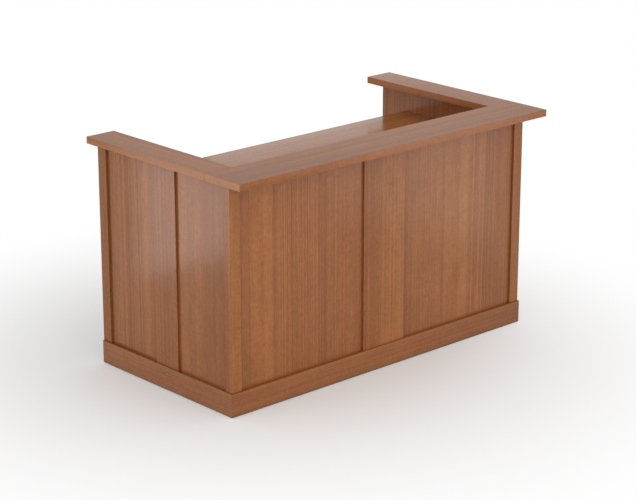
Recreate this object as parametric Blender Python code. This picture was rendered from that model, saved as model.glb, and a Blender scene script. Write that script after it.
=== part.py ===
"""Judge's bench: a panelled front and two side walls under a flat cap, with a worktop inside.

Frame: metres, +Z up, origin on the floor under the middle of the cap. The public front faces -Y,
the open working side faces +Y, and +X is the right-hand end as the public sees it.
"""

import math

import bmesh
import bpy
from mathutils import Vector

# Cap: three flat boards, the side ones butted against the front one.
CAP_LENGTH = 1.873
CAP_DEPTH = 1.048
CAP_TOP = 1.070
CAP_THICKNESS = 0.032
FRONT_CAP_WIDTH = 0.229
SIDE_CAP_WIDTH = 0.151

# How far the cap stands out past the faces of the posts.
FRONT_OVERHANG = 0.112
SIDE_OVERHANG = 0.037
REAR_OVERHANG = 0.030

# Walls: sheets of veneered board with thicker posts and battens planted on their faces.
SHEET = 0.025
BATTEN_THICKNESS = 0.010
POST_FRONT_WIDTH = 0.056
POST_SIDE_WIDTH = 0.041
REAR_STILE_WIDTH = 0.056
FRONT_BATTEN_WIDTH = 0.252
SIDE_BATTEN_WIDTH = 0.153
SIDE_BATTEN_BEHIND_POST_FACE = 0.441
REBATE_DEPTH = 0.009
TONGUE_WIDTH = 0.024
TONGUE_THICKNESS = 0.006
PANEL_LIPPING = 0.006

# Plinth: a mitred board round the public sides, held just off the floor.
PLINTH_HEIGHT = 0.106
PLINTH_THICKNESS = 0.016
FLOOR_GAP = 0.003

# Worktop between the side walls, and the rib that carries its middle.
WORKTOP_TOP = 0.918
WORKTOP_THICKNESS = 0.029
WORKTOP_DEPTH = 0.713
WORKTOP_LIPPING = 0.010
RIB_HEAD_DEPTH = 0.520
RIB_FOOT_DEPTH = 0.200
RIB_HEAD_LIP = 0.060
RIB_ARC_STEPS = 16

# Fixing timbers inside the walls.
CAP_CLEAT = 0.019
WORKTOP_CLEAT_HEIGHT = 0.038
WORKTOP_CLEAT_THICKNESS = 0.019
CLEAT_SETBACK = 0.020
RIB_CLEAT = 0.019
RIB_CLEAT_SPAN = (0.060, 0.800)
CORNER_BLOCK_LEG = 0.050
CORNER_BLOCK_HEIGHT = 0.110
CORNER_BLOCK_BASES = {"lower": 0.150, "upper": 0.690}

# Dowels across the butt joints of the cap.
DOWEL_RADIUS = 0.005
DOWEL_LENGTH = 0.060
DOWEL_CHAMFER = 0.001
DOWEL_INSETS = {"outer": 0.040, "inner": 0.111}

# Levelling glides, screwed into threaded inserts in the plinth's bottom edge.
GLIDE_FROM_PLINTH_END = 0.116
GLIDE_FROM_PLINTH_FRONT = 0.105
GLIDE_FROM_REAR = 0.089
GLIDE_RADIUS = 0.007
GLIDE_STEM_RADIUS = 0.003
GLIDE_STEM_LENGTH = 0.024
GLIDE_EDGE = 0.0008
INSERT_RADIUS = 0.0045
INSERT_FLANGE_RADIUS = 0.006
INSERT_FLANGE = 0.0015
INSERT_LENGTH = 0.026
ROUND_STEPS = 24

# Clearance between pieces that touch, and the radius taken off arrises that are seen or handled.
GAP = 0.0003
EASE = 0.001
EASE_STEPS = 2
WORKTOP_NOSING = 0.003

# Faces of the walls, worked out from the sizes above.
CAP_UNDERSIDE = CAP_TOP - CAP_THICKNESS
WALL_TOP = CAP_UNDERSIDE - GAP
PLINTH_TOP = FLOOR_GAP + PLINTH_HEIGHT
CAP_FRONT = -CAP_DEPTH / 2
CAP_END = CAP_LENGTH / 2
CAP_JOINT = CAP_FRONT + FRONT_CAP_WIDTH
POST_FRONT = CAP_FRONT + FRONT_OVERHANG
POST_END = CAP_END - SIDE_OVERHANG
WALL_REAR = CAP_DEPTH / 2 - REAR_OVERHANG
SHEET_FRONT = POST_FRONT + BATTEN_THICKNESS
SHEET_END = POST_END - BATTEN_THICKNESS
INNER_FRONT = SHEET_FRONT + SHEET
INNER_END = SHEET_END - SHEET
PLINTH_FRONT = SHEET_FRONT - PLINTH_THICKNESS
PLINTH_END = SHEET_END + PLINTH_THICKNESS
WORKTOP_UNDERSIDE = WORKTOP_TOP - WORKTOP_THICKNESS
WORKTOP_REAR = INNER_FRONT + WORKTOP_DEPTH

# Colour (linear), roughness and metallic value of each finish.
FINISHES = {
    "veneer": ((0.300, 0.125, 0.058), 0.38, 0.0),
    "trim": ((0.315, 0.130, 0.056), 0.36, 0.0),
    "cap": ((0.305, 0.135, 0.066), 0.32, 0.0),
    "worktop": ((0.290, 0.128, 0.062), 0.30, 0.0),
    "fixing_timber": ((0.260, 0.115, 0.055), 0.55, 0.0),
    "beech": ((0.560, 0.370, 0.210), 0.60, 0.0),
    "zinc_steel": ((0.610, 0.610, 0.590), 0.35, 1.0),
    "black_nylon": ((0.020, 0.020, 0.021), 0.50, 0.0),
}

SIDES = {"left": -1, "right": 1}


def clear_scene():
    """Remove every object that is already in the scene."""
    for item in list(bpy.data.objects):
        bpy.data.objects.remove(item, do_unlink=True)


def make_material(name, finish):
    """Return a Principled material in one of the bench's finishes."""
    colour, roughness, metallic = FINISHES[finish]
    material = bpy.data.materials.new(name)
    material.use_nodes = True
    shader = material.node_tree.nodes["Principled BSDF"]
    shader.inputs["Base Color"].default_value = (*colour, 1.0)
    shader.inputs["Roughness"].default_value = roughness
    shader.inputs["Metallic"].default_value = metallic
    return material


def make_empty(name, location, parent=None):
    """Add an empty to hang pieces from."""
    empty = bpy.data.objects.new(name, None)
    empty.location = location
    empty.parent = parent
    bpy.context.scene.collection.objects.link(empty)
    return empty


def make_object(name, bm, location, parent, finish=None):
    """Turn a bmesh into a placed object. Without a finish it is a cutter, which is not a piece."""
    mesh = bpy.data.meshes.new(name)
    bm.to_mesh(mesh)
    bm.free()
    item = bpy.data.objects.new(name, mesh)
    item.location = location
    item.parent = parent
    bpy.context.scene.collection.objects.link(item)
    if finish:
        mesh.materials.append(make_material(f"{name}_{finish}", finish))
    else:
        item.hide_render = True
        item.display_type = "WIRE"
    return item


def cut(item, cutters):
    """Subtract each cutter from a piece."""
    for cutter in cutters:
        boolean = item.modifiers.new(f"cut_{cutter.name}", "BOOLEAN")
        boolean.operation = "DIFFERENCE"
        boolean.solver = "EXACT"
        boolean.object = cutter


def round_edges(bm, edges, radius):
    """Round the given edges to a radius."""
    bmesh.ops.bevel(
        bm, geom=edges, offset=radius, affect="EDGES", segments=EASE_STEPS, profile=0.5, material=-1
    )


def board(name, low, high, finish, parent, seen=(), radius=EASE):
    """Make a square-cut board between two corners.

    An arris is eased where both of the faces that meet on it are in seen, such as "-y" and "+z".
    """
    low, high = Vector(low), Vector(high)
    bm = bmesh.new()
    bmesh.ops.create_cube(bm, size=1.0)
    bmesh.ops.scale(bm, vec=high - low, verts=bm.verts)
    bm.normal_update()

    def side(face):
        axis = max(range(3), key=lambda i: abs(face.normal[i]))
        return ("+" if face.normal[axis] > 0 else "-") + "xyz"[axis]

    eased = [edge for edge in bm.edges if all(side(face) in seen for face in edge.link_faces)]
    if eased:
        round_edges(bm, eased, radius)
    return make_object(name, bm, (low + high) / 2, parent, finish)


def extrusion(name, outline, start, length, axis, finish, parent, eased_corners=(), eased_rims=()):
    """Extrude a closed outline along X or Z, from start over a length.

    The outline is (y, z) for axis "x" and (x, y) for axis "z". The object's origin is the outline's
    first point. eased_corners are the outline's points whose long edge is rounded, and eased_rims
    are its stretches, by their first point, whose edge at the far end is rounded.
    """
    first = outline[0]

    def place(point, along):
        across, up = point[0] - first[0], point[1] - first[1]
        return Vector((along, across, up) if axis == "x" else (across, up, along))

    bm = bmesh.new()
    base = bm.faces.new([bm.verts.new(place(point, 0.0)) for point in outline])
    extruded = bmesh.ops.extrude_face_region(bm, geom=[base])
    moved = [item for item in extruded["geom"] if isinstance(item, bmesh.types.BMVert)]
    bmesh.ops.translate(bm, verts=moved, vec=place(first, length))
    bmesh.ops.recalc_face_normals(bm, faces=bm.faces)
    runs = [(place(outline[i], 0.0), place(outline[i], length)) for i in eased_corners]
    runs += [(place(outline[i], length), place(outline[i + 1], length)) for i in eased_rims]

    def lies_on(edge, ends):
        return all(min((vert.co - end).length for end in ends) < GAP / 10 for vert in edge.verts)

    eased = [edge for edge in bm.edges if any(lies_on(edge, ends) for ends in runs)]
    if eased:
        round_edges(bm, eased, EASE)
    location = (start, *first) if axis == "x" else (*first, start)
    return make_object(name, bm, location, parent, finish)


def turned(profile):
    """Spin a profile of (radius, height) points, listed upwards, round the Z axis."""
    bm = bmesh.new()
    verts = [bm.verts.new((radius, 0.0, height)) for radius, height in profile]
    edges = [bm.edges.new(pair) for pair in zip(verts, verts[1:])]
    bmesh.ops.spin(
        bm, geom=verts + edges, cent=(0, 0, 0), axis=(0, 0, 1), angle=2 * math.pi, steps=ROUND_STEPS,
        use_merge=True,
    )
    bmesh.ops.remove_doubles(bm, verts=bm.verts, dist=0.00001)
    bmesh.ops.recalc_face_normals(bm, faces=bm.faces)
    return bm


def shade_round(item):
    """Shade a turned piece smooth, and leave its corners sharp."""
    item.data.shade_smooth()
    item.data.set_sharp_from_angle(angle=math.radians(35))


def add_caps(bench):
    """Front cap along the whole length, side caps butted to its rear edge and doweled to it."""
    front = board(
        "front_cap", (-CAP_END, CAP_FRONT, CAP_UNDERSIDE), (CAP_END, CAP_JOINT, CAP_TOP), "cap", bench,
        seen=("-x", "+x", "-y", "+y", "-z", "+z"),
    )
    for word, side in SIDES.items():
        edges = sorted((side * CAP_END, side * (CAP_END - SIDE_CAP_WIDTH)))
        low = (edges[0], CAP_JOINT + GAP, CAP_UNDERSIDE)
        high = (edges[1], CAP_DEPTH / 2, CAP_TOP)
        cap = board(f"{word}_cap", low, high, "cap", bench, seen=("-x", "+x", "+y", "-z", "+z"))
        bores = []
        for place, inset in DOWEL_INSETS.items():
            spot = (side * (CAP_END - inset), CAP_JOINT + GAP / 2, CAP_TOP - CAP_THICKNESS / 2)
            bores.append(add_dowel(f"{word}_cap_dowel_{place}", spot, bench))
        cut(cap, bores)
        cut(front, bores)


def add_dowel(name, spot, bench):
    """Add a chamfered dowel lying along Y, and return the cutter for the bores that it sits in."""
    axis = make_empty(f"{name}_axis", spot, bench)
    axis.rotation_euler = (math.radians(90), 0, 0)
    half = DOWEL_LENGTH / 2
    tip = DOWEL_RADIUS - DOWEL_CHAMFER
    profile = [
        (0, -half), (tip, -half), (DOWEL_RADIUS, DOWEL_CHAMFER - half),
        (DOWEL_RADIUS, half - DOWEL_CHAMFER), (tip, half), (0, half),
    ]
    dowel = make_object(name, turned(profile), (0, 0, 0), axis, "beech")
    shade_round(dowel)
    bore_radius, bore_half = DOWEL_RADIUS + GAP, half + GAP
    bore = [(0, -bore_half), (bore_radius, -bore_half), (bore_radius, bore_half), (0, bore_half)]
    return make_object(f"{name}_bore", turned(bore), (0, 0, 0), axis)


def add_front_panels(bench):
    """Two sheets that meet on a loose tongue behind the centre batten, rebated for the side walls."""
    groove_half = TONGUE_THICKNESS / 2 + GAP
    groove_end = TONGUE_WIDTH / 2 + GAP
    middle = (SHEET_FRONT + INNER_FRONT) / 2
    for word, side in SIDES.items():
        outline = [
            (GAP / 2, SHEET_FRONT), (SHEET_END, SHEET_FRONT),
            (SHEET_END, INNER_FRONT - REBATE_DEPTH), (INNER_END - GAP, INNER_FRONT - REBATE_DEPTH),
            (INNER_END - GAP, INNER_FRONT), (GAP / 2, INNER_FRONT),
            (GAP / 2, middle + groove_half), (groove_end, middle + groove_half),
            (groove_end, middle - groove_half), (GAP / 2, middle - groove_half),
        ]
        outline = [(side * x, y) for x, y in outline]
        extrusion(f"front_panel_{word}", outline, 0.0, WALL_TOP, "z", "veneer", bench)
    half_width, half_thickness = TONGUE_WIDTH / 2, TONGUE_THICKNESS / 2
    board(
        "front_panel_tongue", (-half_width, middle - half_thickness, 0.0),
        (half_width, middle + half_thickness, WALL_TOP), "fixing_timber", bench,
    )


def add_side_walls(bench):
    """Side sheets housed in the front panels' rebates, each with a lipping on its rear edge."""
    for word, side in SIDES.items():
        faces = sorted((side * INNER_END, side * SHEET_END))
        lip_front = WALL_REAR - PANEL_LIPPING
        board(
            f"{word}_side_panel", (faces[0], INNER_FRONT - REBATE_DEPTH + GAP, 0.0),
            (faces[1], lip_front - GAP, WALL_TOP), "veneer", bench,
        )
        inner_face = "+x" if side < 0 else "-x"
        board(
            f"{word}_panel_lipping", (faces[0], lip_front, 0.0), (faces[1], WALL_REAR, WALL_TOP),
            "trim", bench, seen=(inner_face, "+y"), radius=EASE / 2,
        )


def add_posts_and_battens(bench):
    """Rebated corner posts that wrap the wall corners, and flat battens, all standing on the plinth."""
    foot, height = PLINTH_TOP + GAP, WALL_TOP - PLINTH_TOP - GAP
    for word, side in SIDES.items():
        outline = [
            (POST_END, POST_FRONT), (POST_END, POST_FRONT + POST_SIDE_WIDTH),
            (SHEET_END + GAP, POST_FRONT + POST_SIDE_WIDTH), (SHEET_END + GAP, SHEET_FRONT - GAP),
            (POST_END - POST_FRONT_WIDTH, SHEET_FRONT - GAP), (POST_END - POST_FRONT_WIDTH, POST_FRONT),
        ]
        outline = [(side * x, y) for x, y in outline]
        extrusion(
            f"{word}_corner_post", outline, foot, height, "z", "trim", bench, eased_corners=(0, 1, 5)
        )
        faces = sorted((side * POST_END, side * (SHEET_END + GAP)))
        outer = "-x" if side < 0 else "+x"
        centre = POST_FRONT + SIDE_BATTEN_BEHIND_POST_FACE
        spans = {
            "centre_batten": (centre - SIDE_BATTEN_WIDTH / 2, centre + SIDE_BATTEN_WIDTH / 2),
            "rear_stile": (WALL_REAR - REAR_STILE_WIDTH, WALL_REAR),
        }
        for piece, (near, far) in spans.items():
            board(
                f"{word}_{piece}", (faces[0], near, foot), (faces[1], far, foot + height), "trim", bench,
                seen=(outer, "-y", "+y"),
            )
    half = FRONT_BATTEN_WIDTH / 2
    board(
        "front_centre_batten", (-half, POST_FRONT, foot), (half, SHEET_FRONT - GAP, foot + height),
        "trim", bench, seen=("-y", "-x", "+x"),
    )


def glide_spots():
    """Name and place of each glide's axis, on the middle of the plinth's thickness."""
    end_line = SHEET_END + PLINTH_THICKNESS / 2
    spots = {}
    for word, side in SIDES.items():
        front_x = side * (PLINTH_END - GLIDE_FROM_PLINTH_END)
        spots[f"{word}_front"] = (front_x, SHEET_FRONT - PLINTH_THICKNESS / 2)
        spots[f"{word}_side"] = (side * end_line, PLINTH_FRONT + GLIDE_FROM_PLINTH_FRONT)
        spots[f"{word}_rear"] = (side * end_line, WALL_REAR - GLIDE_FROM_REAR)
    return spots


def add_plinth(bench):
    """Front and side plinth boards, mitred at the corners and bored for the glides' inserts."""
    near, far = SHEET_FRONT - GAP, SHEET_END + GAP
    mitre_gap = GAP / math.sqrt(2)
    outline = [
        (-PLINTH_END + mitre_gap, PLINTH_FRONT), (PLINTH_END - mitre_gap, PLINTH_FRONT),
        (far - mitre_gap, near), (-far + mitre_gap, near),
    ]
    boards = {"front": plinth_board("front_plinth", outline, bench)}
    for word, side in SIDES.items():
        outline = [
            (PLINTH_END, PLINTH_FRONT + mitre_gap), (PLINTH_END, WALL_REAR),
            (far, WALL_REAR), (far, near + mitre_gap),
        ]
        outline = [(side * x, y) for x, y in outline]
        boards[word] = plinth_board(f"{word}_plinth", outline, bench)
    for name, spot in glide_spots().items():
        word = name.split("_")[0]
        bore = add_glide(name, spot, bench)
        cut(boards["front" if name.endswith("front") else word], [bore])


def plinth_board(name, outline, bench):
    """One plinth board, with the arris along its top outer edge eased."""
    return extrusion(name, outline, FLOOR_GAP, PLINTH_HEIGHT, "z", "trim", bench, eased_rims=(0,))


def add_glide(name, spot, bench):
    """Add one glide and its threaded insert, and return the cutter for the insert's stepped bore."""
    axis = make_empty(f"{name}_glide_axis", (*spot, 0.0), bench)
    disc_low, disc_high = GAP, FLOOR_GAP - GAP
    stem_top = FLOOR_GAP + GLIDE_STEM_LENGTH
    glide = [
        (0, disc_low), (GLIDE_RADIUS - GLIDE_EDGE, disc_low), (GLIDE_RADIUS, disc_low + GLIDE_EDGE),
        (GLIDE_RADIUS, disc_high - GLIDE_EDGE / 2), (GLIDE_RADIUS - GLIDE_EDGE, disc_high),
        (GLIDE_STEM_RADIUS, disc_high), (GLIDE_STEM_RADIUS, stem_top - GLIDE_EDGE),
        (GLIDE_STEM_RADIUS - GLIDE_EDGE, stem_top), (0, stem_top),
    ]
    shade_round(make_object(f"{name}_glide", turned(glide), (0, 0, 0), axis, "black_nylon"))
    hole = GLIDE_STEM_RADIUS + GAP
    flange_top, sleeve_top = FLOOR_GAP + INSERT_FLANGE, FLOOR_GAP + INSERT_LENGTH
    sleeve = [
        (hole, FLOOR_GAP), (INSERT_FLANGE_RADIUS, FLOOR_GAP), (INSERT_FLANGE_RADIUS, flange_top),
        (INSERT_RADIUS, flange_top), (INSERT_RADIUS, sleeve_top), (hole, sleeve_top), (hole, FLOOR_GAP),
    ]
    shade_round(make_object(f"{name}_insert", turned(sleeve), (0, 0, 0), axis, "zinc_steel"))
    bore_radius, flange_radius = INSERT_RADIUS + GAP, INSERT_FLANGE_RADIUS + GAP
    bore = [
        (0, FLOOR_GAP - GLIDE_EDGE), (flange_radius, FLOOR_GAP - GLIDE_EDGE),
        (flange_radius, flange_top + GAP), (bore_radius, flange_top + GAP),
        (bore_radius, sleeve_top + GAP), (0, sleeve_top + GAP),
    ]
    return make_object(f"{name}_glide_bore", turned(bore), (0, 0, 0), axis)


def add_worktop(bench):
    """Worktop fitted between the walls, with a solid lipping along the edge that faces the chair."""
    end = INNER_END - GAP
    lip_front = WORKTOP_REAR - WORKTOP_LIPPING
    board(
        "worktop", (-end, INNER_FRONT + GAP, WORKTOP_UNDERSIDE), (end, lip_front - GAP, WORKTOP_TOP),
        "worktop", bench,
    )
    board(
        "worktop_lipping", (-end, lip_front, WORKTOP_UNDERSIDE), (end, WORKTOP_REAR, WORKTOP_TOP),
        "trim", bench, seen=("+y", "-z", "+z"), radius=WORKTOP_NOSING,
    )


def add_centre_rib(bench):
    """Upright rib under the middle of the worktop, cut back in a quarter circle for the knees."""
    front, top = INNER_FRONT + GAP, WORKTOP_UNDERSIDE - GAP
    radius = RIB_HEAD_DEPTH - RIB_FOOT_DEPTH
    head, foot = front + RIB_HEAD_DEPTH, front + RIB_FOOT_DEPTH
    centre_z = top - RIB_HEAD_LIP - radius
    turns = [math.pi / 2 * (1 + step / RIB_ARC_STEPS) for step in range(RIB_ARC_STEPS + 1)]
    knee = [(head + radius * math.cos(turn), centre_z + radius * math.sin(turn)) for turn in turns]
    outline = [(front, 0.0), (front, top), (head, top), *knee, (foot, 0.0)]
    extrusion("centre_rib", outline, -SHEET / 2, SHEET, "x", "veneer", bench)
    low, high = RIB_CLEAT_SPAN
    for word, side in SIDES.items():
        faces = sorted((side * (SHEET / 2 + GAP), side * (SHEET / 2 + GAP + RIB_CLEAT)))
        inner = "-x" if side < 0 else "+x"
        board(
            f"rib_cleat_{word}", (faces[0], front, low), (faces[1], front + RIB_CLEAT, high),
            "fixing_timber", bench, seen=(inner, "+y", "-z", "+z"),
        )


def add_cleats(bench):
    """Timber cleats under the worktop and under the cap, screwed to the inside of the walls."""
    front, end = INNER_FRONT + GAP, INNER_END - GAP
    shelf = WORKTOP_UNDERSIDE - GAP
    shelf_low = shelf - WORKTOP_CLEAT_HEIGHT
    cap_low = WALL_TOP - CAP_CLEAT
    seen_front = ("+y", "-z")
    board(
        "front_cap_cleat", (-end, front, cap_low), (end, front + CAP_CLEAT, WALL_TOP), "fixing_timber",
        bench, seen=seen_front,
    )
    for word, side in SIDES.items():
        span = sorted((side * (SHEET / 2 + GAP), side * end))
        board(
            f"front_worktop_cleat_{word}", (span[0], front, shelf_low),
            (span[1], front + WORKTOP_CLEAT_THICKNESS, shelf), "fixing_timber", bench, seen=seen_front,
        )
        inner = "+x" if side < 0 else "-x"
        walls = sorted((side * end, side * (end - WORKTOP_CLEAT_THICKNESS)))
        board(
            f"{word}_worktop_cleat", (walls[0], front + WORKTOP_CLEAT_THICKNESS + GAP, shelf_low),
            (walls[1], WORKTOP_REAR - CLEAT_SETBACK, shelf), "fixing_timber", bench,
            seen=(inner, "+y", "-z"),
        )
        walls = sorted((side * end, side * (end - CAP_CLEAT)))
        board(
            f"{word}_cap_cleat", (walls[0], front + CAP_CLEAT + GAP, cap_low),
            (walls[1], WALL_REAR - CLEAT_SETBACK, WALL_TOP), "fixing_timber", bench,
            seen=(inner, "+y", "-z"),
        )


def add_corner_blocks(bench):
    """Three-cornered glue blocks that tie the front panels to the side walls."""
    front, end = INNER_FRONT + GAP, INNER_END - GAP
    for word, side in SIDES.items():
        outline = [(end, front), (end, front + CORNER_BLOCK_LEG), (end - CORNER_BLOCK_LEG, front)]
        outline = [(side * x, y) for x, y in outline]
        for level, base in CORNER_BLOCK_BASES.items():
            extrusion(
                f"{word}_corner_block_{level}", outline, base, CORNER_BLOCK_HEIGHT, "z", "fixing_timber",
                bench,
            )


def build():
    """Build the whole bench under one empty on the floor."""
    clear_scene()
    bench = make_empty("bench", (0, 0, 0))
    add_caps(bench)
    add_front_panels(bench)
    add_side_walls(bench)
    add_posts_and_battens(bench)
    add_plinth(bench)
    add_worktop(bench)
    add_centre_rib(bench)
    add_cleats(bench)
    add_corner_blocks(bench)


build()
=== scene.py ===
import math

import bmesh
import bpy
from mathutils import Matrix, Vector


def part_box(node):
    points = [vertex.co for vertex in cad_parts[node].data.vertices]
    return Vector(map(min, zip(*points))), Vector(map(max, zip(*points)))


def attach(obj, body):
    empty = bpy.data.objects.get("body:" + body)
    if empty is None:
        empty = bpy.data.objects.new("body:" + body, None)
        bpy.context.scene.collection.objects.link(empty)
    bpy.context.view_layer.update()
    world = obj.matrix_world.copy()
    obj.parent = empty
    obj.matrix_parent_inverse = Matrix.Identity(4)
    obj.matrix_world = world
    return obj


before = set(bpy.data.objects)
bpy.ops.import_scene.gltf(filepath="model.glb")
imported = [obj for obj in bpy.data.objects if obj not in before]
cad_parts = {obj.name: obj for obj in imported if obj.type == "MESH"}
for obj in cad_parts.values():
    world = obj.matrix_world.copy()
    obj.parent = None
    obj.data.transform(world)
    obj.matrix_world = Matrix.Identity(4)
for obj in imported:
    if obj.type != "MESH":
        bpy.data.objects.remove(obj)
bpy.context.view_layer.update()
scene = bpy.context.scene
print("frame loaded:", len(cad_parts), "boards and fittings")


# small helpers for building shader trees

def feed(tree, value, socket):
    if isinstance(value, bpy.types.NodeSocket):
        tree.links.new(value, socket)
    else:
        socket.default_value = value


def put(tree, kind, feeds=None, **settings):
    node = tree.nodes.new("ShaderNode" + kind)
    for name, value in settings.items():
        setattr(node, name, value)
    for name, value in (feeds or {}).items():
        feed(tree, value, node.inputs[name])
    return node


def calc(tree, operation, *values, clamp=False):
    node = put(tree, "Math", operation=operation, use_clamp=clamp)
    for socket, value in zip(node.inputs, values):
        feed(tree, value, socket)
    return node.outputs[0]


def vectorCalc(tree, operation, first, second):
    node = put(tree, "VectorMath", operation=operation)
    feed(tree, first, node.inputs[0])
    feed(tree, second, node.inputs[1])
    return node.outputs["Value" if operation == "DISTANCE" else "Vector"]


def remap(tree, value, low, high, toLow=0.0, toHigh=1.0):
    node = put(tree, "MapRange", interpolation_type="SMOOTHSTEP")
    for socket, item in zip(node.inputs, (value, low, high, toLow, toHigh)):
        feed(tree, item, socket)
    return node.outputs[0]


def cloud(tree, place, stretch, detail=2.0, rough=0.5):
    # noise with this many lumps to the metre, along each axis or along all three
    if not isinstance(stretch, tuple):
        stretch = (stretch, stretch, stretch)
    node = put(tree, "TexNoise", {"Scale": 1.0, "Detail": detail, "Roughness": rough})
    feed(tree, vectorCalc(tree, "MULTIPLY", place, stretch), node.inputs["Vector"])
    return node.outputs[0]


def mixColour(tree, share, first, second, mode="MIX"):
    node = put(tree, "Mix", data_type="RGBA", blend_type=mode)
    feed(tree, share, node.inputs[0])
    feed(tree, first, node.inputs[6])        # the sockets before 6 mix numbers and vectors
    feed(tree, second, node.inputs[7])
    return node.outputs[2]


def weigh(tree, start, parts):
    # start plus the sum of (value - 0.5) * weight
    total = start
    for value, weight in parts:
        centred = calc(tree, "SUBTRACT", value, 0.5)
        total = calc(tree, "MULTIPLY_ADD", centred, weight, total)
    return total


def newGroup(name, inputs, outputs):
    group = bpy.data.node_groups.new(name, "ShaderNodeTree")
    for direction, sockets in (("INPUT", inputs), ("OUTPUT", outputs)):
        for socketName, kind in sockets:
            group.interface.new_socket(name=socketName, in_out=direction, socket_type="NodeSocket" + kind)
    return group, group.nodes.new("NodeGroupInput").outputs, group.nodes.new("NodeGroupOutput").inputs


def placeGroup(tree, group, feeds):
    return put(tree, "Group", feeds, node_tree=group).outputs


def newMaterial(name):
    material = bpy.data.materials.new(name)
    material.use_nodes = True
    material.node_tree.nodes.clear()
    return material, material.node_tree


def showSurface(tree, shader):
    output = put(tree, "OutputMaterial")
    tree.links.new(shader.outputs[0], output.inputs["Surface"])


# wood figure: everything that runs with the grain, on (across, depth, along) places in metres

grain = {
    "wander": 0.006,                    # how far the figure drifts sideways along a board
    "drift": ((2.2, 2.2, 0.9), 1.0),    # each noise: lumps to the metre, detail, roughness
    "straight": {                       # noises that don't drift
        "fibre": ((300, 300, 5), 2.0),
        "flecks": ((230, 230, 62), 1.0),
        "mottle": ((17, 9, 7), 2.0),
        "ripple": ((24, 9, 105), 1.0),
        "clouding": ((3.5, 3.5, 2.2), 2.0),
        "pores": ((1300, 1300, 38), 1.0),
    },
    "wandering": {                      # noises that do
        "bands": ((13, 6, 0.30), 2.0, 0.55),
        "streaks": ((70, 25, 0.40), 3.0, 0.6),
        "ribbons": ((120, 20, 0.10), 2.0, 0.6),
        "lines": ((90, 8, 0.18), 0.0),
        "lineBreaks": ((31, 5, 1.6), 1.0),
        "blush": ((26, 9, 0.5), 2.0),
    },
    "lengthwise": {"bands": 0.35, "streaks": 0.60, "fibre": 0.45, "flecks": 0.90, "clouding": 0.30},
    "crosswise": {"mottle": 0.52, "ripple": 0.35},
    "lineWidth": 0.045,
    "lineDepth": -0.06,
    "breakSpan": (0.34, 0.62),          # spans are the part of a noise that is used
    "ribbonSpan": (0.36, 0.64),
    "ribbonDepth": 0.30,
    "blushSpan": (0.32, 0.68),
    "blushes": ((1.02, 0.985, 0.99, 1.0), (0.98, 1.015, 1.01, 1.0)),
    "poreSpan": (0.60, 0.74),
    "poreDepth": 0.45,
    "darkest": 0.20,                    # tones stay above this
    "levelling": 0.20,                  # how softly they level off there
    "crossTint": (1.06, 1.02, 0.82, 1.0),
    "crossTintShare": 0.5,
    "fibreRelief": 0.25,
    "poreRelief": -0.8,
    "fibreDullness": 0.07,
    "poreDullness": 0.16,
}


def makeWoodGroup():
    group, given, result = newGroup(
        "woodFigure",
        [("Place", "Vector"), ("Lightness", "Float"), ("Pinstripe", "Float"), ("Figure", "Float"),
         ("Contrast", "Float"), ("Deep", "Color"), ("Middle", "Color"), ("Pale", "Color")],
        [("Color", "Color"), ("Height", "Float"), ("Dullness", "Float")],
    )
    place = given["Place"]
    drift = cloud(group, place, *grain["drift"])
    sideways = calc(group, "MULTIPLY_ADD", drift, grain["wander"], -grain["wander"] / 2)
    shift = put(group, "CombineXYZ", {"X": sideways}).outputs[0]
    bent = vectorCalc(group, "ADD", place, shift)
    noise = {name: cloud(group, place, *values) for name, values in grain["straight"].items()}
    noise.update({name: cloud(group, bent, *values) for name, values in grain["wandering"].items()})
    pores = remap(group, noise["pores"], *grain["poreSpan"])

    # pinstripes are the level lines of a slow noise, fading in and out along the board
    offLevel = calc(group, "ABSOLUTE", calc(group, "SUBTRACT", noise["lines"], 0.5))
    line = remap(group, offLevel, 0.0, grain["lineWidth"], 1.0, 0.0)
    breaks = remap(group, noise["lineBreaks"], *grain["breakSpan"])
    lines = calc(group, "MULTIPLY", calc(group, "MULTIPLY", line, breaks), given["Pinstripe"])
    depth = grain["ribbonDepth"]
    ribbons = remap(group, noise["ribbons"], *grain["ribbonSpan"], -depth, depth)

    along = weigh(group, 0.0, [(noise[name], weight) for name, weight in grain["lengthwise"].items()])
    cross = weigh(group, 0.0, [(noise[name], weight) for name, weight in grain["crosswise"].items()])
    tone = calc(group, "MULTIPLY_ADD", along, given["Contrast"], given["Lightness"])
    tone = calc(group, "MULTIPLY_ADD", cross, given["Figure"], tone)
    tone = calc(group, "MULTIPLY_ADD", ribbons, given["Pinstripe"], tone)
    tone = calc(group, "MULTIPLY_ADD", lines, grain["lineDepth"], tone)
    tone = calc(group, "SMOOTH_MAX", tone, grain["darkest"], grain["levelling"])

    # deep at 0, middle at 0.5, pale at 1
    lower = calc(group, "MULTIPLY", tone, 2.0, clamp=True)
    upper = calc(group, "MULTIPLY_ADD", tone, 2.0, -1.0, clamp=True)
    colour = mixColour(group, lower, given["Deep"], given["Middle"])
    colour = mixColour(group, upper, colour, given["Pale"])
    tint = calc(group, "MULTIPLY", given["Figure"], grain["crossTintShare"])
    colour = mixColour(group, tint, colour, grain["crossTint"], "MULTIPLY")
    blush = mixColour(group, remap(group, noise["blush"], *grain["blushSpan"]), *grain["blushes"])
    colour = mixColour(group, 1.0, colour, blush, "MULTIPLY")
    poreShade = calc(group, "MULTIPLY", pores, grain["poreDepth"])
    group.links.new(mixColour(group, poreShade, colour, given["Deep"]), result["Color"])

    sunk = calc(group, "MULTIPLY", pores, grain["poreRelief"])
    relief = calc(group, "MULTIPLY_ADD", noise["fibre"], grain["fibreRelief"], sunk)
    group.links.new(relief, result["Height"])
    matt = calc(group, "MULTIPLY", noise["fibre"], grain["fibreDullness"])
    group.links.new(calc(group, "MULTIPLY_ADD", pores, grain["poreDullness"], matt), result["Dullness"])
    return group


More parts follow.
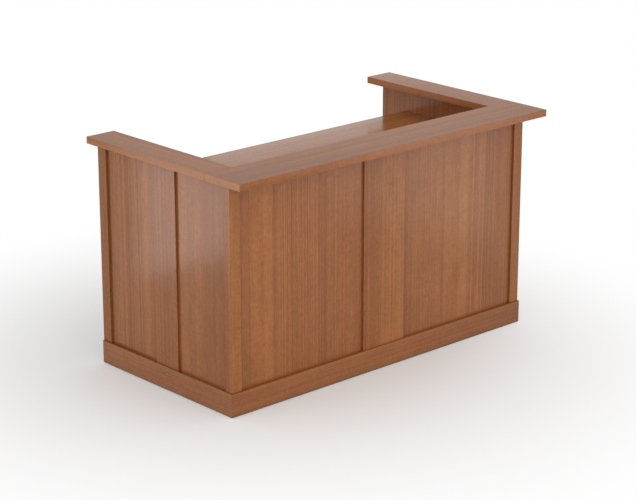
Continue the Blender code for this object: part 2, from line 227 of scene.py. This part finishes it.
arrisWear = {"patches": (34, 3.0), "patchSpan": (0.36, 0.64), "leastWear": 0.25}


def makeWearGroup():
    # rubbed arrises: places where two faces of a board's box meet
    group, given, result = newGroup(
        "arrisWear",
        [("Position", "Vector"), ("Low", "Vector"), ("High", "Vector"), ("Width", "Float")],
        [("Wear", "Float")],
    )
    fromLow = vectorCalc(group, "SUBTRACT", given["Position"], given["Low"])
    fromHigh = vectorCalc(group, "SUBTRACT", given["High"], given["Position"])
    nearest = vectorCalc(group, "MINIMUM", fromLow, fromHigh)
    sides = put(group, "SeparateXYZ", {"Vector": nearest}).outputs
    close = [remap(group, side, 0.0, given["Width"], 1.0, 0.0) for side in sides]
    pairs = [calc(group, "MULTIPLY", close[i], close[(i + 1) % 3]) for i in range(3)]
    edge = calc(group, "MAXIMUM", calc(group, "MAXIMUM", pairs[0], pairs[1]), pairs[2])
    patches = cloud(group, given["Position"], *arrisWear["patches"])
    worn = remap(group, patches, *arrisWear["patchSpan"], arrisWear["leastWear"], 1.0)
    group.links.new(calc(group, "MULTIPLY", edge, worn), result["Wear"])
    return group


handling = {"broad": (4.5, 3.0), "broadWeight": 0.8, "wiped": (26, 2.0), "wipedWeight": 0.35}


def makeHandlingGroup():
    # slow changes of gloss where lacquer has been wiped and leant on
    group, given, result = newGroup("handling", [("Position", "Vector")], [("Smudge", "Float")])
    broad = cloud(group, given["Position"], *handling["broad"])
    wiped = cloud(group, given["Position"], *handling["wiped"])
    smudge = weigh(group, 0.0, [(broad, handling["broadWeight"]), (wiped, handling["wipedWeight"])])
    group.links.new(smudge, result["Smudge"])
    return group


woodGroup = makeWoodGroup()
wearGroup = makeWearGroup()
handlingGroup = makeHandlingGroup()
print("wood, wear and handling groups ready")


# finishes

lacqueredVeneer = {
    "deep": (0.197, 0.062, 0.018, 1.0),
    "middle": (0.335, 0.118, 0.036, 1.0),
    "pale": (0.462, 0.177, 0.054, 1.0),
    "roughness": 0.17,
    "wornRoughness": 0.08,      # added on rubbed arrises
    "ior": 1.38,
    "bump": 0.04,
    "bumpDepth": 0.0006,
    "wearWidth": 0.002,
    "wearShare": 0.10,
    "smudge": 0.06,
    "endTone": 0.45,            # lightness of end grain
    "endCalm": 0.7,             # share of the contrast that end grain loses
    # painted shade: dark brown for corners, recesses and the sides of the uprights
    "paintedShade": (0.140, 0.044, 0.008, 1.0),
    # painted warm shade: light bounced from the wood above the plinth
    "paintedWarmShade": (0.340, 0.092, 0.006, 1.0),
    # painted shadow: dark grey for the gap under the plinth
    "paintedGapShadow": (0.092, 0.118, 0.136, 1.0),
    "paintedWarmShadeShare": 0.0,          # share of painted warm shade, light bounced from the wood, above the plinth and on its ledge
    "paintedCornerShade": 0.0,         # share of painted shade in the corner above the plinth
    "paintedBesideShade": 0.0,         # painted shade beside the uprights
    "paintedEdgeShade": 0.0,           # painted shade on the narrow edges of the uprights
    "paintedLedgeShade": 0.0,          # painted shade on the board's top face
    "paintedFootShadow": 0.0,            # painted shadow along its lower edge, where the gap under it is dark
}
# each finish below sets its shares of painted shade and painted warm shade
sideVeneer = dict(lacqueredVeneer, paintedCornerShade=0.36, paintedBesideShade=0.36, paintedWarmShadeShare=0.8)
frontVeneer = dict(sideVeneer, roughness=0.23, paintedCornerShade=0.06, paintedBesideShade=0.30, paintedWarmShadeShare=0.58)
solidTrim = dict(lacqueredVeneer, wearShare=0.05)
battenTrim = dict(solidTrim, paintedCornerShade=0.40, paintedEdgeShade=0.38, paintedWarmShadeShare=0.8)
stileTrim = dict(battenTrim, ior=1.33, paintedEdgeShade=0.0)
frontTrim = dict(battenTrim, roughness=0.23, ior=1.35, paintedCornerShade=0.10, paintedEdgeShade=0.08, paintedWarmShadeShare=0.35)
plinthTrim = dict(solidTrim, paintedLedgeShade=0.48, paintedFootShadow=0.92, ior=1.46, paintedWarmShadeShare=0.85)
frontPlinth = dict(plinthTrim, ior=1.42, paintedLedgeShade=0.30, paintedWarmShadeShare=0.5)
capLacquer = dict(lacqueredVeneer, roughness=0.22, ior=1.33, wearShare=0.05, endTone=0.68)
deskLacquer = dict(lacqueredVeneer, ior=1.40)
rawTimber = dict(
    lacqueredVeneer,
    deep=(0.150, 0.055, 0.019, 1.0),
    middle=(0.275, 0.108, 0.038, 1.0),
    pale=(0.390, 0.165, 0.062, 1.0),
    roughness=0.78,
    ior=1.22,
    bump=0.25,
    wearWidth=0.003,
    wearShare=0.20,
    smudge=0.05,
    endTone=0.50,
)

reach = {        # in metres: where a mask is full, and where it has faded out
    "endGrain": (0.0004, 0.0014),       # from the end of a board
    "topFace": (0.0004, 0.0014),        # down from the top of a board
    "outerFace": (0.0005, 0.0015),      # back from the outward face of a wall piece
    "narrowEdge": (0.004, 0.001),       # the same, for the edge of an upright
    "paintedWarmShade": (0.007, 0.017),            # up from the plinth
    "corner": (0.001, 0.014),           # up from the plinth
    "beside": (0.0, 0.030),             # away from an upright
    "foot": (0.0014, 0.0034),           # up from the lower edge of a board
}
grainAxes = {        # (across, depth, along) for boards that run each way
    "frontUpright": "XYZ",
    "sideUpright": "YXZ",
    "flatLong": "YZX",
    "flatDeep": "XZY",
    "uprightLong": "ZYX",
    "uprightDeep": "ZXY",
}
leafSeam = 0.0012        # half the width over which one veneer leaf turns into the next
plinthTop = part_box("front_plinth")[1].z


def within(tree, distance, name, share=1.0):
    full, gone = reach[name]
    return remap(tree, distance, full, gone, share, 0.0)


def leafRamp(tree, across, low, leaves):
    # veneer leaves side by side: red holds lightness, green pinstripes, blue cross figure
    whole = sum(leaf[0] for leaf in leaves) / 1000
    share = calc(tree, "DIVIDE", calc(tree, "SUBTRACT", across, low), whole, clamp=True)
    ramp = put(tree, "ValToRGB", {"Fac": share})
    stops = []
    edge = 0.0
    for width, *tones in leaves:
        stops.append((edge + leafSeam, tones))
        edge += width / 1000
        stops.append((edge - leafSeam, tones))
    elements = ramp.color_ramp.elements
    while len(elements) < len(stops):
        elements.new(1.0)
    for element, (place, tones) in zip(elements, stops):
        element.position = place / whole
        element.color = (*tones, 1.0)
    return put(tree, "SeparateColor", {"Color": ramp.outputs[0]}).outputs


def alongTone(tree, along, ends, lightness, lean, bow):
    # lean above 0 makes the high end the paler one, bow above 0 the middle paler than the ends
    # a third of the bow is put back, which keeps the mean tone
    half = (ends[1] - ends[0]) / 2
    share = calc(tree, "DIVIDE", calc(tree, "SUBTRACT", along, ends[0] + half), half)
    squared = calc(tree, "MULTIPLY", share, share)
    tilted = calc(tree, "MULTIPLY_ADD", share, lean, lightness)
    return calc(tree, "MULTIPLY_ADD", squared, -bow, calc(tree, "ADD", tilted, bow / 3))


def outwardDepth(tree, parts, node):
    # how far a place lies behind the outward face, or faces, of its wall piece
    low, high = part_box(node)
    depths = []
    if node.startswith("front") or node.endswith("corner_post"):
        depths.append(calc(tree, "SUBTRACT", parts["Y"], low.y))
    if node.startswith("left"):
        depths.append(calc(tree, "SUBTRACT", parts["X"], low.x))
    if node.startswith("right"):
        depths.append(calc(tree, "SUBTRACT", high.x, parts["X"]))
    if len(depths) > 1:
        return calc(tree, "MINIMUM", *depths)
    return depths[0]


def wallPaintedShade(tree, parts, node, across, finish, uprights, colour):
    # painted warm shade above the plinth, and painted dark shade there, beside the uprights and on their
    # edges
    depth = outwardDepth(tree, parts, node)
    outer = within(tree, depth, "outerFace")
    aboveLedge = calc(tree, "SUBTRACT", parts["Z"], plinthTop)
    warmShadeShare = calc(tree, "MULTIPLY", within(tree, aboveLedge, "paintedWarmShade", finish["paintedWarmShadeShare"]), outer)
    colour = mixColour(tree, warmShadeShare, colour, finish["paintedWarmShade"])
    shadeShare = within(tree, aboveLedge, "corner", finish["paintedCornerShade"])
    for place in uprights:
        away = calc(tree, "ABSOLUTE", calc(tree, "SUBTRACT", across, place))
        shadeShare = calc(tree, "MAXIMUM", shadeShare, within(tree, away, "beside", finish["paintedBesideShade"]))
    onEdge = within(tree, depth, "narrowEdge", finish["paintedEdgeShade"])
    shadeShare = calc(tree, "MAXIMUM", calc(tree, "MULTIPLY", shadeShare, outer), onEdge)
    return mixColour(tree, shadeShare, colour, finish["paintedShade"])


def plinthPaintedShade(tree, parts, low, high, finish, colour):
    # painted warm and dark shade on the ledge, painted shadow along the foot
    belowTop = calc(tree, "SUBTRACT", high.z, parts["Z"])
    aboveFoot = calc(tree, "SUBTRACT", parts["Z"], low.z)
    warmShadeShare = within(tree, belowTop, "topFace", finish["paintedWarmShadeShare"])
    shadeShare = within(tree, belowTop, "topFace", finish["paintedLedgeShade"])
    footShadowShare = within(tree, aboveFoot, "foot", finish["paintedFootShadow"])
    colour = mixColour(tree, warmShadeShare, colour, finish["paintedWarmShade"])
    colour = mixColour(tree, shadeShare, colour, finish["paintedShade"])
    return mixColour(tree, footShadowShare, colour, finish["paintedGapShadow"])


def woodMaterial(node, run, finish, tones=(0.5, 0.2, 0.3), contrast=1.0, leaves=None,
                 lean=0.0, bow=0.0, uprights=()):
    # tones are (lightness, pinstripe, cross figure), for a board without leaves
    material, tree = newMaterial(node + "_wood")
    low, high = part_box(node)
    position = put(tree, "TexCoord").outputs["Object"]
    parts = put(tree, "SeparateXYZ", {"Vector": position}).outputs
    axes = grainAxes[run]
    across, depth, along = (parts[axis] for axis in axes)
    ordered = put(tree, "CombineXYZ", {"X": across, "Y": depth, "Z": along}).outputs[0]
    firstEdge = low["XYZ".index(axes[0])]
    ends = [corner["XYZ".index(axes[2])] for corner in (low, high)]

    # tone, with calmer end grain
    if leaves:
        tones = leafRamp(tree, across, firstEdge, leaves)
    lightness, pinstripe, figure = tones
    if lean or bow:
        lightness = alongTone(tree, along, ends, lightness, lean, bow)
    fromEnd = calc(tree, "MINIMUM", calc(tree, "SUBTRACT", along, ends[0]),
                   calc(tree, "SUBTRACT", ends[1], along))
    endGrain = within(tree, fromEnd, "endGrain")
    contrast = calc(tree, "MULTIPLY_ADD", endGrain, -finish["endCalm"] * contrast, contrast)
    toEnd = calc(tree, "SUBTRACT", finish["endTone"], lightness)
    lightness = calc(tree, "MULTIPLY_ADD", toEnd, endGrain, lightness)
    wood = placeGroup(tree, woodGroup, {
        "Place": ordered, "Lightness": lightness, "Pinstripe": pinstripe, "Figure": figure,
        "Contrast": contrast, "Deep": finish["deep"], "Middle": finish["middle"], "Pale": finish["pale"],
    })

    # wear, and painted shade on the walls and the plinth
    wear = placeGroup(tree, wearGroup, {
        "Position": position, "Low": low, "High": high, "Width": finish["wearWidth"],
    })["Wear"]
    rubbed = calc(tree, "MULTIPLY", wear, finish["wearShare"])
    colour = mixColour(tree, rubbed, wood["Color"], finish["pale"])
    if finish["paintedCornerShade"]:
        colour = wallPaintedShade(tree, parts, node, across, finish, uprights, colour)
    if finish["paintedLedgeShade"]:
        colour = plinthPaintedShade(tree, parts, low, high, finish, colour)

    # gloss
    smudge = placeGroup(tree, handlingGroup, {"Position": position})["Smudge"]
    rough = calc(tree, "ADD", wood["Dullness"], finish["roughness"] - grain["fibreDullness"] / 2)
    rough = calc(tree, "MULTIPLY_ADD", smudge, finish["smudge"], rough)
    rough = calc(tree, "MULTIPLY_ADD", wear, finish["wornRoughness"], rough)
    bump = put(tree, "Bump", {
        "Strength": finish["bump"], "Distance": finish["bumpDepth"], "Height": wood["Height"],
    })
    shader = put(tree, "BsdfPrincipled", {
        "Base Color": colour, "Roughness": rough, "Normal": bump.outputs[0], "IOR": finish["ior"],
    })
    showSurface(tree, shader)
    return material


def dress(node, material):
    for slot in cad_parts[node].material_slots:
        slot.material = material


# veneered sheets: leaves as (width in mm, lightness, pinstripe, cross figure) from the low end

panelLeaves = {
    "front_panel_left": [
        (71, 0.50, 0.20, 0.6), (34, 0.44, 0.30, 0.5), (80, 0.55, 0.10, 1.0), (41, 0.73, 0.10, 1.0),
        (104, 0.50, 1.00, 0.6), (106, 0.42, 0.90, 0.6), (63, 0.47, 0.50, 0.6), (55, 0.38, 0.70, 0.5),
        (35, 0.45, 0.50, 0.5), (45, 0.52, 0.40, 0.7), (33, 0.43, 0.40, 0.8), (42, 0.48, 0.30, 1.0),
        (180, 0.40, 0.30, 1.0),
    ],
    "front_panel_right": [
        # the 60 mm leaf just past the batten is a veneer leaf with its tone lowered as painted shade
        # beside the batten
        (126, 0.50, 0.30, 0.6), (60, 0.37, 0.30, 0.6), (114, 0.52, 0.30, 0.8), (63, 0.56, 0.20, 0.9),
        (28, 0.43, 0.30, 0.6), (97, 0.56, 0.10, 1.0), (62, 0.73, 0.10, 1.0), (112, 0.52, 1.00, 0.6),
        (98, 0.44, 0.90, 0.6), (130, 0.44, 0.50, 0.6),
    ],
    "left_side_panel": [
        (86, 0.41, 0.20, 0.6), (95, 0.40, 0.20, 0.6), (85, 0.55, 0.15, 1.0), (75, 0.53, 0.15, 1.0),
        (150, 0.50, 0.30, 0.5), (50, 0.52, 0.30, 0.5), (33, 0.68, 0.20, 0.9), (130, 0.52, 0.72, 0.5),
        (80, 0.54, 0.68, 0.5), (90, 0.38, 0.40, 0.5),
    ],
    "right_side_panel": [
        (120, 0.46, 0.50, 0.5), (90, 0.50, 0.60, 0.5), (60, 0.60, 0.20, 0.9), (100, 0.54, 0.20, 0.8),
        (140, 0.48, 0.40, 0.5), (45, 0.44, 0.50, 0.5), (110, 0.54, 0.50, 0.6), (70, 0.47, 0.60, 0.5),
        (136, 0.50, 0.60, 0.5),
    ],
}
panelWalls = {        # run of the grain, finish, lean
    "front": ("frontUpright", frontVeneer, 0.0),
    "left": ("sideUpright", sideVeneer, -0.03),
    "right": ("sideUpright", sideVeneer, 0.0),
}
panelContrast = 0.75
ribTones = (0.48, 0.5, 0.3)
uprightEdges = {        # where the posts, battens and stiles stop, across each wall
    "front": [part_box("left_corner_post")[1].x, *(end.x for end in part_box("front_centre_batten")),
              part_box("right_corner_post")[0].x],
}
for side in ("left", "right"):
    uprightEdges[side] = [*(end.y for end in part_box(side + "_centre_batten")),
                          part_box(side + "_rear_stile")[0].y]
for node, leaves in panelLeaves.items():
    wall = node.split("_")[0]
    run, finish, lean = panelWalls[wall]
    dress(node, woodMaterial(node, run, finish, contrast=panelContrast, leaves=leaves, lean=lean,
                             uprights=uprightEdges[wall]))
dress("centre_rib", woodMaterial("centre_rib", "sideUpright", lacqueredVeneer, ribTones))
print("panels dressed")


# solid posts, stiles, battens, plinth and lippings

trimBoards = {        # run of the grain, finish, (lightness, pinstripe, cross figure)
    "left_rear_stile": ("sideUpright", stileTrim, (0.44, 0.40, 0.5)),
    "right_rear_stile": ("sideUpright", stileTrim, (0.46, 0.40, 0.5)),
    "left_centre_batten": ("sideUpright", battenTrim, (0.42, 0.40, 0.5)),
    "right_centre_batten": ("sideUpright", battenTrim, (0.50, 0.40, 0.6)),
    "left_panel_lipping": ("frontUpright", solidTrim, (0.48, 0.30, 0.4)),
    "right_panel_lipping": ("frontUpright", solidTrim, (0.48, 0.30, 0.4)),
    "left_plinth": ("uprightDeep", plinthTrim, (0.46, 0.40, 0.5)),
    "right_plinth": ("uprightDeep", plinthTrim, (0.46, 0.40, 0.5)),
    "worktop_lipping": ("uprightLong", solidTrim, (0.50, 0.30, 0.4)),
}
frontUprights = {        # lean, which darkens the top as painted shade under the cap, and boards glued side by side, given as the leaves are
    "left_corner_post": (-0.05, [(4, 0.39, 0.20, 0.5), (52, 0.57, 0.20, 0.9)]),
    "right_corner_post": (-0.05, [(56, 0.46, 0.40, 0.5)]),
    "front_centre_batten": (-0.14, [(112, 0.42, 0.40, 0.6), (140, 0.54, 0.30, 0.8)]),
}
uprightContrast = 0.9
# the front plinth is darker towards both ends, most at the right, as painted fall-off of the light
frontFoot = {"tones": (0.40, 0.40, 0.5), "contrast": 0.85, "lean": -0.06, "bow": 0.20}
for node, (run, finish, tones) in trimBoards.items():
    dress(node, woodMaterial(node, run, finish, tones))
for node, (lean, boards) in frontUprights.items():
    dress(node, woodMaterial(node, "frontUpright", frontTrim, contrast=uprightContrast,
                             leaves=boards, lean=lean))
dress("front_plinth", woodMaterial("front_plinth", "uprightLong", frontPlinth, **frontFoot))
print("posts, battens and plinth dressed")


# caps and worktop

capBoards = {        # glued up from boards behind a 3 mm lipping, from the low end as the leaves are
    "front_cap": [
        (3, 0.57, 0.30, 0.5), (70, 0.37, 0.40, 0.5), (80, 0.47, 0.40, 0.5), (76, 0.55, 0.40, 0.5),
    ],
    "left_cap": [(3, 0.72, 0.20, 0.0), (75, 0.63, 0.40, 0.5), (73, 0.62, 0.40, 0.5)],
    "right_cap": [(75, 0.58, 0.40, 0.5), (73, 0.62, 0.40, 0.5), (3, 0.66, 0.30, 0.5)],
}
capRuns = {        # run of the grain, contrast, lean, bow
    "front_cap": ("flatLong", 0.75, 0.06, 0.12),
    "left_cap": ("flatDeep", 0.55, -0.03, 0.0),
    "right_cap": ("flatDeep", 0.55, 0.04, 0.0),
}
deskTop = {"tones": (0.70, 0.5, 0.5), "contrast": 1.1}
for node, boards in capBoards.items():
    run, contrast, lean, bow = capRuns[node]
    dress(node, woodMaterial(node, run, capLacquer, contrast=contrast, leaves=boards,
                             lean=lean, bow=bow))
dress("worktop", woodMaterial("worktop", "flatLong", deskLacquer, **deskTop))
print("caps and worktop dressed")


# fixing timbers and dowels inside

timberRuns = {
    "flatLong": ["front_cap_cleat"],
    "flatDeep": ["left_cap_cleat", "right_cap_cleat", "left_cap_dowel_outer", "left_cap_dowel_inner",
                 "right_cap_dowel_outer", "right_cap_dowel_inner"],
    "uprightLong": ["front_worktop_cleat_left", "front_worktop_cleat_right"],
    "uprightDeep": ["left_worktop_cleat", "right_worktop_cleat"],
    "frontUpright": ["rib_cleat_left", "rib_cleat_right", "front_panel_tongue",
                     "left_corner_block_lower", "left_corner_block_upper",
                     "right_corner_block_lower", "right_corner_block_upper"],
}
timber = {"tones": (0.5, 0.3, 0.1), "contrast": 0.9}
for run, nodes in timberRuns.items():
    for node in nodes:
        dress(node, woodMaterial(node, run, rawTimber, **timber))
print("fixing timbers dressed")


# metal and nylon of the levelling glides

zincPlate = {
    "colour": (0.60, 0.61, 0.61, 1.0),
    "spangle": (0.40, 0.41, 0.42, 1.0),      # colour of the broad specks
    "roughness": 0.34,
    "metallic": 1.0,
    "fine": 2600,                            # specks to the metre
    "broad": 300,
    "bump": 0.15,
}
blackNylon = {
    "colour": (0.018, 0.018, 0.019, 1.0),
    "spangle": (0.060, 0.059, 0.058, 1.0),
    "roughness": 0.48,
    "metallic": 0.0,
    "fine": 3000,
    "broad": 420,
    "bump": 0.30,
}
speckle = {"span": (0.38, 0.66), "fineRough": 0.20, "broadRough": 0.10, "depth": 0.0003}


def fittingMaterial(name, finish):
    # two sizes of speckle, for plating spangle or moulded texture
    material, tree = newMaterial(name)
    position = put(tree, "TexCoord").outputs["Object"]
    small = cloud(tree, position, finish["fine"])
    large = remap(tree, cloud(tree, position, finish["broad"]), *speckle["span"])
    colour = mixColour(tree, large, finish["colour"], finish["spangle"])
    specks = [(small, speckle["fineRough"]), (large, speckle["broadRough"])]
    rough = weigh(tree, finish["roughness"], specks)
    relief = put(tree, "Bump", {
        "Strength": finish["bump"], "Distance": speckle["depth"], "Height": small,
    })
    shader = put(tree, "BsdfPrincipled", {
        "Base Color": colour, "Roughness": rough, "Metallic": finish["metallic"],
        "Normal": relief.outputs[0],
    })
    showSurface(tree, shader)
    return material


zincMaterial = fittingMaterial("zinc_plate", zincPlate)
nylonMaterial = fittingMaterial("black_nylon_moulding", blackNylon)
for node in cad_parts:
    if node.endswith("_insert"):
        dress(node, zincMaterial)
    elif node.endswith("_glide"):
        dress(node, nylonMaterial)
print("glides and inserts dressed")


# screw heads that hold the cleats and blocks

screwHead = {
    "radius": 0.0042,
    "rise": 0.0014,
    "sides": 16,
    "crown": 0.90,          # width where the dome turns in, as a share of the radius
    "crownRise": 0.6,       # and how far up that is, as a share of the rise
    "shoulder": 0.62,       # flat top, as a share of the radius
    "armEnd": 0.52,         # cross recess, as shares of the radius
    "armRoot": 0.21,
    "armSpread": 0.72,      # a corner is on an arm where the sine of twice its angle is under this
    "recessDepth": 0.0010,
    "recessTaper": 0.55,
    "turnStep": 0.7,        # each screw stops at another angle, in radians
    "mergeWithin": 0.00001,
}
screwCounts = {        # screws along each kind of timber
    "frontCap": 6,
    "sideCap": 4,
    "deskIn": 4,              # through a worktop cleat into the wall
    "deskUp": 3,              # up through it into the worktop
    "rib": 4,
}
blockShares = (0.25, 0.75)        # heights of the screws on a corner block


def addScrew(mesh, place, facing, turn):
    # a raised head with a cross recess, standing on the timber's face
    radius = screwHead["radius"]
    crown, crownRise = screwHead["crown"], screwHead["crownRise"]
    made = bmesh.ops.create_circle(mesh, cap_ends=True, segments=screwHead["sides"], radius=radius)
    started = set(made["verts"])
    cap = made["verts"][0].link_faces[0]
    if cap.normal.z < 0:
        bmesh.ops.reverse_faces(mesh, faces=[cap])
    for shrink, climb in ((crown, crownRise), (screwHead["shoulder"] / crown, 1 - crownRise)):
        cap = bmesh.ops.extrude_discrete_faces(mesh, faces=[cap])["faces"][0]
        bmesh.ops.translate(mesh, verts=cap.verts, vec=(0, 0, screwHead["rise"] * climb))
        bmesh.ops.scale(mesh, verts=cap.verts, vec=(shrink, shrink, 1.0))
        started.update(cap.verts)
    cap = bmesh.ops.extrude_discrete_faces(mesh, faces=[cap])["faces"][0]
    started.update(cap.verts)
    for corner in cap.verts:        # draw the ring in to a cross
        angle = math.atan2(corner.co.y, corner.co.x)
        onArm = abs(math.sin(2 * angle)) < screwHead["armSpread"]
        length = radius * (screwHead["armEnd"] if onArm else screwHead["armRoot"])
        corner.co.x = length * math.cos(angle)
        corner.co.y = length * math.sin(angle)
    cap = bmesh.ops.extrude_discrete_faces(mesh, faces=[cap])["faces"][0]
    started.update(cap.verts)
    taper = screwHead["recessTaper"]
    bmesh.ops.translate(mesh, verts=cap.verts, vec=(0, 0, -screwHead["recessDepth"]))
    bmesh.ops.scale(mesh, verts=cap.verts, vec=(taper, taper, 1.0))
    aim = Vector(facing).to_track_quat("Z", "Y").to_matrix().to_4x4()
    spin = Matrix.Rotation(turn, 4, "Z")
    bmesh.ops.transform(mesh, matrix=Matrix.Translation(place) @ aim @ spin, verts=list(started))


def alongCleat(node, axis, count, facing):
    # evenly spaced spots on one face of a cleat
    low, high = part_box(node)
    middle = (low + high) / 2
    spots = []
    for index in range(count):
        spot = middle.copy()
        spot[axis] = low[axis] + (high[axis] - low[axis]) * (index + 0.5) / count
        for side in range(3):
            if facing[side] > 0:
                spot[side] = high[side]
            elif facing[side] < 0:
                spot[side] = low[side]
        spots.append((spot, facing))
    return spots


def onBlock(low, high, facing):
    # spots on the sloping face of a three-cornered block with this box
    spots = []
    for share in blockShares:
        spot = (low + high) / 2
        spot.z = low.z + (high.z - low.z) * share
        spots.append((spot, facing))
    return spots


def addScrews(name, spots):
    mesh = bmesh.new()
    for index, (place, facing) in enumerate(spots):
        addScrew(mesh, place, facing, screwHead["turnStep"] * index)
    bmesh.ops.remove_doubles(mesh, verts=mesh.verts, dist=screwHead["mergeWithin"])
    data = bpy.data.meshes.new(name)
    mesh.to_mesh(data)
    mesh.free()
    data.materials.append(zincMaterial)
    piece = bpy.data.objects.new(name, data)
    scene.collection.objects.link(piece)
    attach(piece, "bench")


rearward = (0, 1, 0)
downward = (0, 0, -1)
inward = {"left": (1, 0, 0), "right": (-1, 0, 0)}
capSpots = alongCleat("front_cap_cleat", 0, screwCounts["frontCap"], rearward)
deskSpots = []
ribSpots = []
blockSpots = []
for side in ("left", "right"):
    frontCleat = "front_worktop_cleat_" + side
    sideCleat = side + "_worktop_cleat"
    capSpots += alongCleat(side + "_cap_cleat", 1, screwCounts["sideCap"], inward[side])
    deskSpots += alongCleat(frontCleat, 0, screwCounts["deskIn"], rearward)
    deskSpots += alongCleat(frontCleat, 0, screwCounts["deskUp"], downward)
    deskSpots += alongCleat(sideCleat, 1, screwCounts["deskIn"], inward[side])
    deskSpots += alongCleat(sideCleat, 1, screwCounts["deskUp"], downward)
    ribSpots += alongCleat("rib_cleat_" + side, 2, screwCounts["rib"], rearward)
    slope = (Vector(inward[side]) + Vector(rearward)).normalized()
    for level in ("lower", "upper"):
        low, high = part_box(f"{side}_corner_block_{level}")
        blockSpots += onBlock(low, high, slope)
addScrews("cap_cleat_screws", capSpots)
addScrews("worktop_cleat_screws", deskSpots)
addScrews("rib_cleat_screws", ribSpots)
addScrews("corner_block_screws", blockSpots)
print("screw heads set")


# studio: pale floor, even white surround, soft boxes, camera

studio = {
    "floorColour": (0.81, 0.80, 0.79, 1.0),
    "floorGlow": 0.145,
    "floorSize": 60.0,
    "fadeMiddle": (-0.25, 0.05, 0.0),
    "fadeSpan": (0.5, 2.35),              # distances over which the floor turns white
    "underPlinth": (0.002, 0.006),        # distances in from its face over which the glow stops, painting the plinth's shadow there
    "openBack": (0.0, 0.5),               # places along Y over which it comes back
    "surround": 0.65,
    "lens": 117.16,
    "sensor": 36.0,
    "farthest": 200.0,
    "cameraAt": (-6.1716, -6.7184, 3.4069),
    "yaw": -42.451,
    "pitch": -17.889,
}
softBoxes = {        # middle, (width, height), turn about Z from facing -Y, radiance, what it lights
    "key_front": ((-1.0, -3.0, 1.9), (3.6, 2.2), 180.0, 1.05, "diffuse"),
    "key_left": ((-3.2, -0.8, 1.9), (3.0, 2.2), 90.0, 0.75, "diffuse"),
    "key_right": ((3.2, -0.8, 1.9), (3.0, 2.2), -90.0, 0.75, "diffuse"),
    "box_left_rear": ((-2.58, 1.30, 0.92), (1.7, 1.8), 0.0, 2.0, "glossy"),
    "box_right_front": ((1.65, -2.00, 0.92), (1.6, 1.8), -90.0, 1.2, "glossy"),
    "box_right_rear": ((1.50, 1.30, 0.66), (2.2, 1.3), 0.0, 0.55, "glossy"),
}


def outsidePlinth(tree, position):
    # 0 on the floor behind the plinth boards, 1 in front of them and in the open at the back; the glow is
    # cut where it is 0, a painted shadow under the plinth
    plinthLow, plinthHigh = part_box("front_plinth")
    near, far = studio["underPlinth"]
    parts = put(tree, "SeparateXYZ", {"Vector": position}).outputs
    sideways = calc(tree, "ABSOLUTE", parts["X"])
    besideSides = remap(tree, sideways, plinthHigh.x - far, plinthHigh.x - near)
    beforeFront = remap(tree, parts["Y"], plinthLow.y + far, plinthLow.y + near)
    atBack = remap(tree, parts["Y"], *studio["openBack"])
    return calc(tree, "MAXIMUM", calc(tree, "MAXIMUM", besideSides, beforeFront), atBack)


def floorMaterial():
    material, tree = newMaterial("pale_floor")
    path = put(tree, "LightPath").outputs
    seen = calc(tree, "MAXIMUM", path["Is Camera Ray"], path["Is Glossy Ray"])
    seen = calc(tree, "MAXIMUM", seen, path["Is Transmission Ray"])
    position = put(tree, "TexCoord").outputs["Object"]
    away = vectorCalc(tree, "DISTANCE", position, studio["fadeMiddle"])
    fade = remap(tree, away, *studio["fadeSpan"])
    lit = calc(tree, "MULTIPLY", seen, outsidePlinth(tree, position))
    matt = put(tree, "BsdfDiffuse", {"Color": studio["floorColour"]})
    glow = put(tree, "Emission", {"Strength": calc(tree, "MULTIPLY", lit, studio["floorGlow"])})
    near = put(tree, "AddShader")
    tree.links.new(matt.outputs[0], near.inputs[0])
    tree.links.new(glow.outputs[0], near.inputs[1])
    white = put(tree, "Emission", {"Strength": 1.0})
    mix = put(tree, "MixShader", {"Fac": calc(tree, "MULTIPLY", seen, fade)})
    tree.links.new(near.outputs[0], mix.inputs[1])
    tree.links.new(white.outputs[0], mix.inputs[2])
    showSurface(tree, mix)
    return material


def makeFloor():
    mesh = bmesh.new()
    bmesh.ops.create_grid(mesh, x_segments=1, y_segments=1, size=studio["floorSize"] / 2)
    data = bpy.data.meshes.new("floor")
    mesh.to_mesh(data)
    mesh.free()
    data.materials.append(floorMaterial())
    floor = bpy.data.objects.new("floor", data)
    scene.collection.objects.link(floor)


def makeSurround():
    # lights the object at its own level, and is white where the camera sees past the floor
    world = bpy.data.worlds.new("surround")
    world.use_nodes = True
    tree = world.node_tree
    tree.nodes.clear()
    seen = put(tree, "LightPath").outputs["Is Camera Ray"]
    level = calc(tree, "MULTIPLY_ADD", seen, 1.0 - studio["surround"], studio["surround"])
    sky = put(tree, "Background", {"Color": (1.0, 1.0, 1.0, 1.0), "Strength": level})
    output = put(tree, "OutputWorld")
    tree.links.new(sky.outputs[0], output.inputs["Surface"])
    scene.world = world


def addSoftBox(name, middle, size, turn, radiance, lights):
    lamp = bpy.data.lights.new(name, "AREA")
    lamp.shape = "RECTANGLE"
    lamp.size, lamp.size_y = size
    lamp.energy = radiance * math.pi * size[0] * size[1]
    box = bpy.data.objects.new(name, lamp)
    box.location = middle
    box.rotation_euler = (math.radians(-90), 0, math.radians(turn))
    box.visible_camera = False
    box.visible_diffuse = lights == "diffuse"
    box.visible_glossy = lights == "glossy"
    scene.collection.objects.link(box)


def makeCamera():
    lens = bpy.data.cameras.new("camera")
    lens.lens = studio["lens"]
    lens.sensor_width = studio["sensor"]
    lens.clip_end = studio["farthest"]
    camera = bpy.data.objects.new("camera", lens)
    camera.location = studio["cameraAt"]
    camera.rotation_euler = (math.radians(90 + studio["pitch"]), 0, math.radians(studio["yaw"]))
    scene.collection.objects.link(camera)
    scene.camera = camera


makeFloor()
makeSurround()
for name, values in softBoxes.items():
    addSoftBox(name, *values)
makeCamera()
scene.view_settings.view_transform = "Standard"
print("studio ready")
